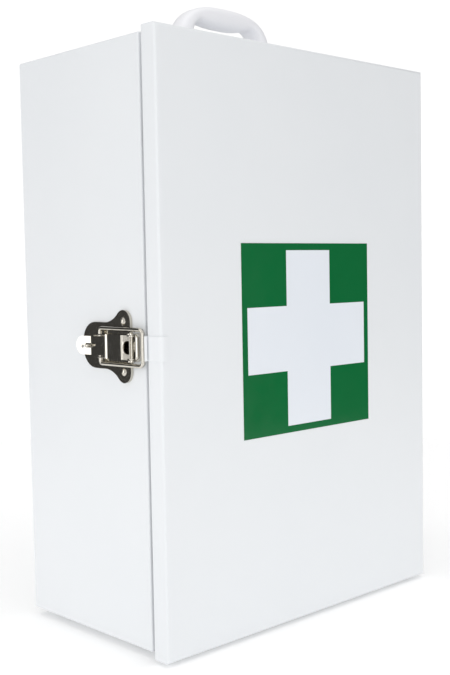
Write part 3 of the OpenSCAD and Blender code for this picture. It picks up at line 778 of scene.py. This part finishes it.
@dataclass
class CarryHandle:
    """The moulded handle on the top, with its screws."""

    top: float = 225.0  # Height of the body's top face
    middle: float = -78.2  # Y of the handle's middle
    half_span: float = 56.0  # Half the length over its outer curve
    height: float = 51.6  # Height of the outer curve
    half_gap: float = 38.0  # Half the length of the finger gap
    gap: float = 38.0  # Height of the finger gap beside the legs
    # How square the outer curve's and the gap's corners are, 2 for an ellipse
    squareness: Span = (2.8, 6.0)
    swell: float = 4.0  # How far the grip swells down into the gap
    swell_half: float = 28.0  # Half the length of that swell
    half_width: float = 10.0  # Half the width, front to back
    section: float = 0.72  # Power that squares the bar's round section
    leg_start: float = 40.0  # Distance from the middle where a leg begins
    screw_x: float = 47.0  # Distance of a screw from the middle
    pad_end: float = 62.0  # Distance of a foot pad's outer end from the middle
    pad: tuple[float, float, float] = (27.0, 26.0, 3.5)  # Length, width and thickness of a foot pad
    fillet: float = 2.6  # Radius of the fillet between a leg and its pad
    rings: int = 72  # Number of steps along the arch

    def build(self) -> None:
        """Builds the handle and what holds it."""
        grip = self.arch()
        for side in (-1, 1):
            join(grip, self.foot_pad(), at(side * (self.pad_end - self.pad[0] / 2)))
        move(grip, y=self.middle, z=self.top)
        show("carry_handle", grip, MOULDED_ABS, Body.CABINET, ["handle_grip"])
        under = [at(side * self.screw_x, self.middle, self.top - 2.0) @ UPSIDE_DOWN for side in (-1, 1)]
        screws = copies(HANDLE_SCREW.shape, under)
        show("handle_screw_set", screws, ZINC_PLATE, Body.CABINET, ["handle_screws"])
        dress(["handle_washers"], ZINC_PLATE)

    def reach(self, angle: float, half: float, height: float, power: float) -> Vector:
        """Returns x and height of a square-cornered arch in a direction from between its feet."""
        size = (abs(math.cos(angle)) / half) ** power + (math.sin(angle) / height) ** power
        return Vector((math.cos(angle), math.sin(angle))) * size ** (-1 / power)

    def flare(self, height: float) -> float:
        """Returns how far a leg widens into its pad at a height."""
        rise = max(0.0, self.fillet - max(0.0, height - self.pad[2] + 0.6))
        return self.fillet - math.sqrt(self.fillet**2 - rise**2)

    def squared(self, share: float) -> float:
        """Returns a share of the bar's half section, pushed towards its corners."""
        return math.copysign(abs(share) ** self.section, share)

    def arch(self) -> BMesh:
        """Models the arch: a straight round bar that is bent and swelled into the handle.

        Returns:
            The closed arch, standing on height 0.
        """
        bm = bmesh.new()
        bmesh.ops.create_circle(bm, segments=32, radius=1.0, cap_ends=False)
        bar = WireRun(bm, list(bm.edges))
        for _ in range(self.rings):
            bar.straight(z=1.0)
        for vert in bm.verts:
            angle = math.pi * min(1.0, max(0.0, vert.co.z / self.rings))
            high = self.reach(angle, self.half_span, self.height, self.squareness[0])
            low = self.reach(angle, self.half_gap, self.gap, self.squareness[1])
            low.y -= self.swell * (1 - min(abs(low.x) / self.swell_half, 1) ** 3)
            middle, half = (high + low) / 2, (high - low) / 2
            stretch = self.flare(middle.y) if abs(middle.x) > self.leg_start else 0.0
            half *= 1 + stretch / half.length
            point = middle + half * self.squared(vert.co.x)
            across = self.squared(vert.co.y) * (self.half_width + stretch)
            vert.co = Vector((point.x, across, max(0.0, point.y)))
        bmesh.ops.holes_fill(bm, edges=[e for e in bm.edges if e.is_boundary], sides=0)
        outward(bm)
        return bm

    def foot_pad(self) -> BMesh:
        """Models a foot pad with rounded corners and a rounded top edge.

        Returns:
            The pad, in the middle of the plane z = 0.
        """
        x, y, thick = self.pad[0] / 2, self.pad[1] / 2, self.pad[2]
        bm = plate(four_corners((-x, x), (-y, y), (6.0, 6.0)), thick)
        round_edges(bm, top_rim(bm, thick), 1.3, 4)
        return bm


@dataclass
class DrawLatch:
    """The draw latch on the left side, with its padlock staple and keeper."""

    side: float = 152.0  # Distance of the body's side from the middle of the cabinet
    front: float = -175.0  # Y that distances along the latch are counted from
    sheet: float = 1.0  # Thickness of the pressed sheet
    base: float = 2.2  # Height of the pressed base plate
    pivot: Span = (31.0, 5.3)  # Distance along and out of the lever's pivot
    opening: float = 140.0  # How far the lever swings open, in degrees
    ear: float = 3.2  # Reach of the base's ears round the pivot
    bail_pivot: Span = (69.0, 4.95)  # Distance along and out of the bail's pivot
    wire: float = 1.5  # Radius of the bail's wire
    wire_half: float = 13.2  # Half the bail's width from wire to wire
    bail_front: float = 18.4  # Distance along of the bail's front bar
    # Distance along of the hood's front, half its width and the radius of its corners
    hood: tuple[float, float, float] = (25.2, 10.4, 4.0)
    # Radius of the hood's dome, height of its centre and its arc in degrees
    dome: tuple[float, float, float] = (3.3, 2.2, 65.0)
    hood_gap: float = 2.7  # Distance of the hood's trimmed edge from the middle of the open lever
    lever_half: float = 9.0  # Half the width of the lever
    shoulder: float = 58.0  # Distance along where the lever narrows to its tongue
    tongue_half: float = 7.05  # Half the width of the padlock tongue
    # Distance along and down and radius of the small hole in the tongue
    small_hole: Ring = (86.1, 0.9, 1.3)
    # Distance along and out of each fold of the lever's plate
    folds: tuple[Span, ...] = (
        (30.0, 7.2), (38.3, 7.6), (39.4, 8.6), (42.3, 8.6), (43.6, 7.6), (57.0, 7.6),
        (58.3, 8.6), (61.9, 8.6), (63.2, 7.6), (77.0, 7.6), (93.0, 9.6),
    )
    staple: Span = (79.0, 9.75)  # Distance along and out of the padlock eye
    staple_sheet: float = 1.5  # Thickness of the staple
    eye: float = 1.7  # Radius of the padlock eye
    # Distance along and up of each rivet
    rivets: tuple[Span, ...] = ((44.5, 18.7), (44.5, -18.7), (56.0, 0.0))
    keeper_half: float = 9.0  # Half the width of the keeper

    def build(self) -> None:
        """Builds the latch's pieces: the nickel-plated ones, and the keeper in the door's white."""
        for name, draw, body, node in (
            ("latch_base_plate", self.base_plate, Body.CABINET, "latch_base"),
            ("latch_lever_plate", self.lever, Body.LEVER, "latch_lever"),
            ("latch_bail_wire", self.bail, Body.BAIL, "latch_bail"),
            ("padlock_staple", self.padlock_staple, Body.CABINET, "latch_staple"),
            ("latch_rivet_set", self.rivet_set, Body.CABINET, "latch_rivets"),
            ("latch_pivot", self.pivot_pin, Body.CABINET, "latch_pivot_pin"),
        ):
            show(name, draw(), NICKEL_PLATE, body, [node])
        show("keeper_hook", self.keeper(), POWDER_COAT, Body.DOOR, ["latch_keeper"])

    def placed(self, bm: BMesh, sketch: Sketch) -> BMesh:
        """Puts a drawn piece on the cabinet's side.

        Args:
            bm: The piece.
            sketch: How it was drawn.

        Returns:
            The same mesh, in the cabinet's frame.
        """
        back, out, up = Vector((0, 1, 0)), Vector((-1, 0, 0)), Vector((0, 0, 1))
        axes = (back, -up, out) if sketch is Sketch.PLAN else (back, out, up)
        turn = Matrix(axes).transposed().to_4x4()
        bmesh.ops.transform(bm, matrix=at(-self.side, self.front, 0) @ turn, verts=bm.verts)
        return bm

    def add_pair(self, bm: BMesh, draw: Callable[[], BMesh], half: float) -> None:
        """Adds a plate, drawn as a section, on edge along both sides of a piece of a half width."""
        for low in (-half, half - self.sheet):
            join(bm, self.placed(move(draw(), z=low), Sketch.SECTION))

    def base_plate(self) -> BMesh:
        """Models the pressed base: two rivet lobes, a round tail, two ears and the hood.

        Returns:
            The base in the cabinet's frame.
        """
        start, wide, corner = self.hood
        half = [
            (start + 0.5, wide - 0.5, corner - 0.5), (36.1, wide - 0.5, 2.0), (36.1, 27.1, 8.4),
            (48.29, 27.1, 8.4), (56.77, 17.5, 20.0), (94.0, 17.5, 15.0),
        ]
        bm = plate(mirrored(half), self.base)
        round_edges(bm, top_rim(bm, self.base), 1.9, 7)
        self.placed(bm, Sketch.PLAN)
        self.add_pair(bm, self.base_ear, wide)
        join(bm, self.placed(self.hood_wall(), Sketch.SECTION))
        return bm

    def base_ear(self) -> BMesh:
        """Models, as a section, one of the base's ears, which hold the lever's pivot."""
        (x, y), r = self.pivot, self.ear
        return plate(four_corners((x - r, x + r), (1.0, y + r), (0.2, 3.1)), self.sheet, soft=0.18)

    def hood_wall(self) -> BMesh:
        """Models the domed hood in front of the lever, trimmed to let the lever swing open.

        Returns:
            The hood as a section along the latch.
        """
        start, wide, corner = self.hood
        radius, rise, arc = self.dome
        centre, straight, steps = start + corner, wide - corner, 9
        turns = [math.radians(arc * i / steps) for i in range(steps + 1)]
        profile = [(corner, 0.0)] + [
            (corner - radius + radius * math.cos(t), rise + radius * math.sin(t)) for t in turns
        ]
        bm = bmesh.new()
        verts = [bm.verts.new((centre, out, -straight - reach)) for reach, out in profile]
        wall = WireRun(bm, [bm.edges.new(pair) for pair in zip(verts, verts[1:])])
        wall.bend(Vector((centre, 0, -straight)), Vector((0, 1, 0)), 90.0, 8)
        wall.straight(z=2 * straight)
        wall.bend(Vector((centre, 0, straight)), Vector((0, 1, 0)), 90.0, 8)
        turn = math.radians(self.opening)
        facing = Vector((-math.sin(turn), math.cos(turn), 0))
        cut(bm, Vector((*self.pivot, 0)) + self.hood_gap * facing, facing, trim=True)
        face_out(bm)
        bmesh.ops.solidify(bm, geom=list(bm.faces), thickness=self.sheet)
        soften(bm, 0.2, degrees=50)
        return bm

    def lever(self) -> BMesh:
        """Models the stamped lever: a ridged plate, a padlock tongue and two flanges.

        Returns:
            The lever in the cabinet's frame.
        """
        wide, tongue, shoulder = self.lever_half, self.tongue_half, self.shoulder
        start, tip = self.folds[0][0], self.folds[-1][0]
        half = [
            (start, wide, 0.4), (shoulder, wide, 0.8), (shoulder + 2.5, tongue, 0.8),
            (tip, tongue, tongue),
        ]
        finger_hole = [(31.4, 4.9, 0.3), (38.3, 4.9, 4.9)]
        staple_slot = [(75.7, 1.75, 0.5), (82.9, 1.75, 0.5)]
        holes = [mirrored(finger_hole), mirrored(staple_slot)]
        bm = flat_sheet(mirrored(half), holes, [self.small_hole])
        for x in self.fold_lines():
            cut(bm, Vector((x, 0, 0)), Vector((1, 0, 0)))
        for vert in bm.verts:
            vert.co.z = self.fold_height(vert.co.x)
        raise_faces(bm, -self.sheet)
        outward(bm)

        def at_bend(vert: BMVert) -> bool:
            """Tells whether a vertex is where the plate bends into a flange."""
            return abs(abs(vert.co.y) - wide) < 0.01 and vert.co.z > self.fold_height(vert.co.x) - 0.1

        bends = [e for e in sharp_edges(bm, 60) if all(at_bend(v) for v in e.verts)]
        round_edges(bm, bends, 0.7, 4)
        round_edges(bm, sharp_edges(bm, 60), 0.22, 2)
        self.placed(bm, Sketch.PLAN)
        self.add_pair(bm, self.flange, wide)
        return bm

    def fold_lines(self) -> list[float]:
        """Finds where the plate is scored so that its folds come out round.

        Returns:
            Distances along the latch.
        """
        lines = []
        for (x0, y0), (x1, y1) in zip(self.folds, self.folds[1:]):
            steps = 6 if y0 != y1 and x1 - x0 < 2 else 1
            lines += [x0 + (x1 - x0) * i / steps for i in range(steps)]
        bend = self.folds[-2][0]
        return lines[1:] + [bend - 0.5, bend + 0.5]

    def fold_height(self, x: float) -> float:
        """Finds the height of the plate's face.

        Args:
            x: Distance along the latch.

        Returns:
            Distance out from the side.
        """
        for (x0, y0), (x1, y1) in zip(self.folds, self.folds[1:]):
            if x <= x1:
                share = max(0.0, (x - x0) / (x1 - x0))
                smooth = (1 - math.cos(math.pi * share)) / 2 if x1 - x0 < 2 else share
                return y0 + (y1 - y0) * smooth
        return self.folds[-1][1]

    def flange(self) -> BMesh:
        """Models, as a section, one side flange of the lever with its two lugs."""
        corners = [
            (28.4, 7.6, 2.4), (33.6, 7.5, 0.3), (34.0, 6.9, 0.3), (71.2, 6.9, 1.6), (71.3, 2.65, 2.2),
            (66.0, 2.65, 2.0), (63.0, 3.75, 2.0), (38.0, 3.7, 2.0), (33.6, 2.7, 1.5), (28.4, 2.7, 2.5),
        ]
        return plate(corners, self.sheet, soft=0.2)

    def bail(self) -> BMesh:
        """Models the bail: one wire, bent at four corners, with its ends in the lever.

        Returns:
            The bail in the cabinet's frame.
        """
        along, out = self.bail_pivot
        start, far, near = 7.2, 2.5, 3.5
        back, ahead = along - far, self.bail_front + near
        low, high, axis = self.wire_half - far, self.wire_half - near, Vector((0, 1, 0))
        bm = bmesh.new()
        bmesh.ops.create_circle(bm, segments=20, radius=self.wire, matrix=at(along, out, start))
        ends = list(bm.edges)
        wire = WireRun(bm, ends)
        wire.straight(z=low - start)
        wire.bend(Vector((back, out, low)), axis, -90.0)
        wire.straight(x=ahead - back)
        wire.bend(Vector((ahead, out, high)), axis, -90.0, 8)
        wire.straight(z=-2 * high)
        wire.bend(Vector((ahead, out, -high)), axis, -90.0, 8)
        wire.straight(x=back - ahead)
        wire.bend(Vector((back, out, -low)), axis, -90.0)
        wire.straight(z=low - start)
        wire.close()
        bmesh.ops.edgeloop_fill(bm, edges=ends)
        outward(bm)
        return self.placed(bm, Sketch.SECTION)

    def padlock_staple(self) -> BMesh:
        """Models the staple with its eye.

        Returns:
            The staple in the cabinet's frame.
        """
        (x, y), reach = self.staple, self.eye + 1.0
        outline = four_corners((x - reach, x + reach), (1.3, y + reach), (0.0, reach - 0.01))
        bm = plate(outline, self.staple_sheet, [(x, y, self.eye)], soft=0.2)
        return self.placed(move(bm, z=-self.staple_sheet / 2), Sketch.SECTION)

    def rivet_set(self) -> BMesh:
        """Models the rivets, with domed heads on the base and in the cabinet.

        Returns:
            The rivets in the cabinet's frame.
        """
        inside = [(r, -1.0 - h) for r, h in reversed(domed(3.0, 1.3))]
        outside = [(r, self.base + h) for r, h in domed(3.0, 1.3)]
        profile = inside + [(1.9, -1.0), (1.9, self.base)] + outside
        rivets = copies(lambda: lathe(profile), [at(along, -up) for along, up in self.rivets])
        return self.placed(rivets, Sketch.PLAN)

    def pivot_pin(self) -> BMesh:
        """Models the lever's pivot pin with its two upset heads.

        Returns:
            The pin in the cabinet's frame.
        """
        end = self.lever_half + 1.5
        head = [(0.0, end + 0.8), (1.0, end + 0.7), (1.8, end + 0.35), (2.2, end)]
        profile = head + [(self.wire, end), (self.wire, -end)] + [(r, -z) for r, z in reversed(head)]
        return self.placed(move(lathe(profile, 20), *self.pivot), Sketch.SECTION)

    def keeper(self) -> BMesh:
        """Models the keeper: it wraps the door's front edge and ends in a curl behind it.

        Returns:
            The keeper in the cabinet's frame.
        """
        lift, corner, curl, upright = 0.02, 2.5, 1.6, Vector((0, 0, 1))
        end = self.bail_front - self.wire - 0.5 - curl
        bm = bmesh.new()
        edge = [bm.verts.new((-lift, -corner, z)) for z in (-self.keeper_half, self.keeper_half)]
        strip = WireRun(bm, [bm.edges.new(edge)])
        strip.straight(y=3.0)
        strip.bend(Vector((corner, 0.5, 0)), upright, -90.0, 6)
        strip.straight(x=end - corner)
        strip.bend(Vector((end, 0.5 + corner + lift + curl, 0)), upright, 255.0, 18)
        face_out(bm)
        bmesh.ops.solidify(bm, geom=list(bm.faces), thickness=-self.sheet)
        soften(bm, 0.2, degrees=50)
        return self.placed(bm, Sketch.SECTION)


# ---------- studio ----------


@dataclass
class Studio:
    """The pale floor, the soft lights and the camera."""

    floor: float = -231.0  # Height of the floor
    floor_reach: float = 0.8  # Distance of the floor's edges from the middle, in metres
    floor_glow: float = 0.15  # Strength of the light that the floor gives off
    # Name, place, target, width and height, all in metres, and power in watts
    softboxes: tuple[tuple[str, Place, Place, Span, float], ...] = (
        ("front_softbox", (0.99, -2.2, 0.35), (0.0, -0.1, 0.0), (1.1, 1.9), 4.5),
        ("side_softbox", (-1.95, -1.6, 0.3), (-0.15, -0.15, 0.0), (0.6, 1.8), 8.0),
        ("tail_softbox", (-2.2, 1.15, 0.15), (-0.15, -0.1, 0.0), (1.0, 1.7), 8.0),
    )
    sun: Span = (0.5, 70.0)  # Strength of the light overhead, and its width in degrees
    walls: Span = (0.75, 0.06)  # Strength of the white walls, and of the dark gaps in them
    # Where the room is dark: a heading, and the cosine of how far it reaches
    gaps: tuple[tuple[Place, float], ...] = (
        ((0.0, 1.0, 0.0), 0.735), ((0.966, -0.259, 0.0), 0.824),
    )
    blur: float = 0.015  # How softly a gap begins, as a cosine
    backdrop: float = 1.05  # Strength of the white that the camera sees behind the cabinet
    eye: Place = (-631.08, -741.65, 56.82)  # The camera's place
    yaw: float = 43.511  # The camera's heading, in degrees from +Y towards +X
    pitch: float = -3.809  # The camera's tilt, in degrees, up is positive
    roll: float = -1.033  # The camera's roll, in degrees
    focal: float = 1051.0  # Focal length in pixels of the picture

    def build(self) -> None:
        """Builds the floor, the lights, the room and the camera."""
        self.lay_floor()
        self.light()
        self.room()
        self.camera()
        bpy.context.scene.view_settings.view_transform = "Standard"

    def lay_floor(self) -> None:
        """Lays the pale floor, which glows a little so that it runs out into the white."""
        paper = bpy.data.materials.new("studio_paper_white")
        paper.use_nodes = True
        settings = {
            "Base Color": linear("#FFFFFF"), "Roughness": 0.9, "Specular IOR Level": 0.0,
            "Emission Color": linear("#FFFFFF"), "Emission Strength": self.floor_glow,
        }
        for name, value in settings.items():
            paper.node_tree.nodes["Principled BSDF"].inputs[name].default_value = value
        bm = bmesh.new()
        bmesh.ops.create_grid(bm, x_segments=1, y_segments=1, size=self.floor_reach)
        link_mesh("pale_floor", move(bm, z=self.floor * MM), paper)

    def hang(self, name: str, kind: str, power: float, place: Vector, target: Vector) -> Light:
        """Hangs a lamp.

        Args:
            name: The lamp's name.
            kind: The lamp's type.
            power: Its power in watts, or its strength for a sun.
            place: Where it hangs, in metres.
            target: What it points at, in metres.

        Returns:
            The lamp.
        """
        lamp = bpy.data.lights.new(name, kind)
        lamp.energy = power
        holder = bpy.data.objects.new(name, lamp)
        holder.location = place
        holder.rotation_euler = (target - place).to_track_quat("-Z", "Y").to_euler()
        bpy.context.scene.collection.objects.link(holder)
        return lamp

    def light(self) -> None:
        """Hangs the softboxes, and a wide, even light overhead."""
        for name, place, target, size, power in self.softboxes:
            lamp = self.hang(name, "AREA", power, Vector(place), Vector(target))
            lamp.shape, lamp.size, lamp.size_y = "RECTANGLE", *size
        strength, width = self.sun
        sun = self.hang("overhead_sheet", "SUN", strength, Vector((0.0, -0.2, 2.0)), Vector())
        sun.angle = math.radians(width)

    def room(self) -> None:
        """Sets the white room, with the dark gaps that bare metal mirrors."""
        world = bpy.data.worlds.new("white_room")
        world.use_nodes = True
        tree = world.node_tree
        tree.nodes.clear()
        heading = add_node(tree, "ShaderNodeTexCoord").outputs["Generated"]
        gaps = []
        for towards, edge in self.gaps:
            facing = add_node(
                tree, "ShaderNodeVectorMath", {"operation": "DOT_PRODUCT", 1: towards}, {0: heading}
            ).outputs["Value"]
            gaps.append(remap(tree, facing, (edge - self.blur, edge + self.blur), self.walls))
        dim = add_node(tree, "ShaderNodeMath", {"operation": "MINIMUM"}, dict(enumerate(gaps)))
        white = {"Color": linear("#FFFFFF")}
        walls = add_node(tree, "ShaderNodeBackground", white, {"Strength": dim.outputs["Value"]})
        paper = add_node(tree, "ShaderNodeBackground", {**white, "Strength": self.backdrop})
        seen = add_node(tree, "ShaderNodeLightPath").outputs["Is Camera Ray"]
        sides = {0: seen, 1: walls.outputs["Background"], 2: paper.outputs["Background"]}
        mix = add_node(tree, "ShaderNodeMixShader", None, sides)
        add_node(tree, "ShaderNodeOutputWorld", None, {"Surface": mix.outputs["Shader"]})
        bpy.context.scene.world = world

    def camera(self) -> None:
        """Sets the camera at the photograph's viewpoint, for a picture 450 wide and 675 high."""
        yaw, pitch, roll = (math.radians(a) for a in (self.yaw, self.pitch, self.roll))
        heading, tilt = Matrix.Rotation(-yaw, 4, "Z"), Matrix.Rotation(math.pi / 2 + pitch, 4, "X")
        lens = bpy.data.cameras.new("photograph_view")
        lens.sensor_fit, lens.sensor_height = "VERTICAL", SENSOR_HEIGHT
        lens.lens = self.focal / PICTURE_HEIGHT * SENSOR_HEIGHT
        eye = bpy.data.objects.new("photograph_view", lens)
        place = at(*(Vector(self.eye) * MM))
        eye.matrix_world = place @ heading @ tilt @ Matrix.Rotation(roll, 4, "Z")
        bpy.context.scene.collection.objects.link(eye)
        bpy.context.scene.camera = eye


def main() -> None:
    """Builds the cabinet's looks."""
    logging.basicConfig(level=logging.INFO, format="%(name)s: %(message)s")
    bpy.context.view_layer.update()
    for assembly in (CabinetBody(), Door(), CarryHandle(), DrawLatch(), Studio()):
        assembly.build()
        LOG.info("%s is built", type(assembly).__name__)


if __name__ == "__main__":
    main()
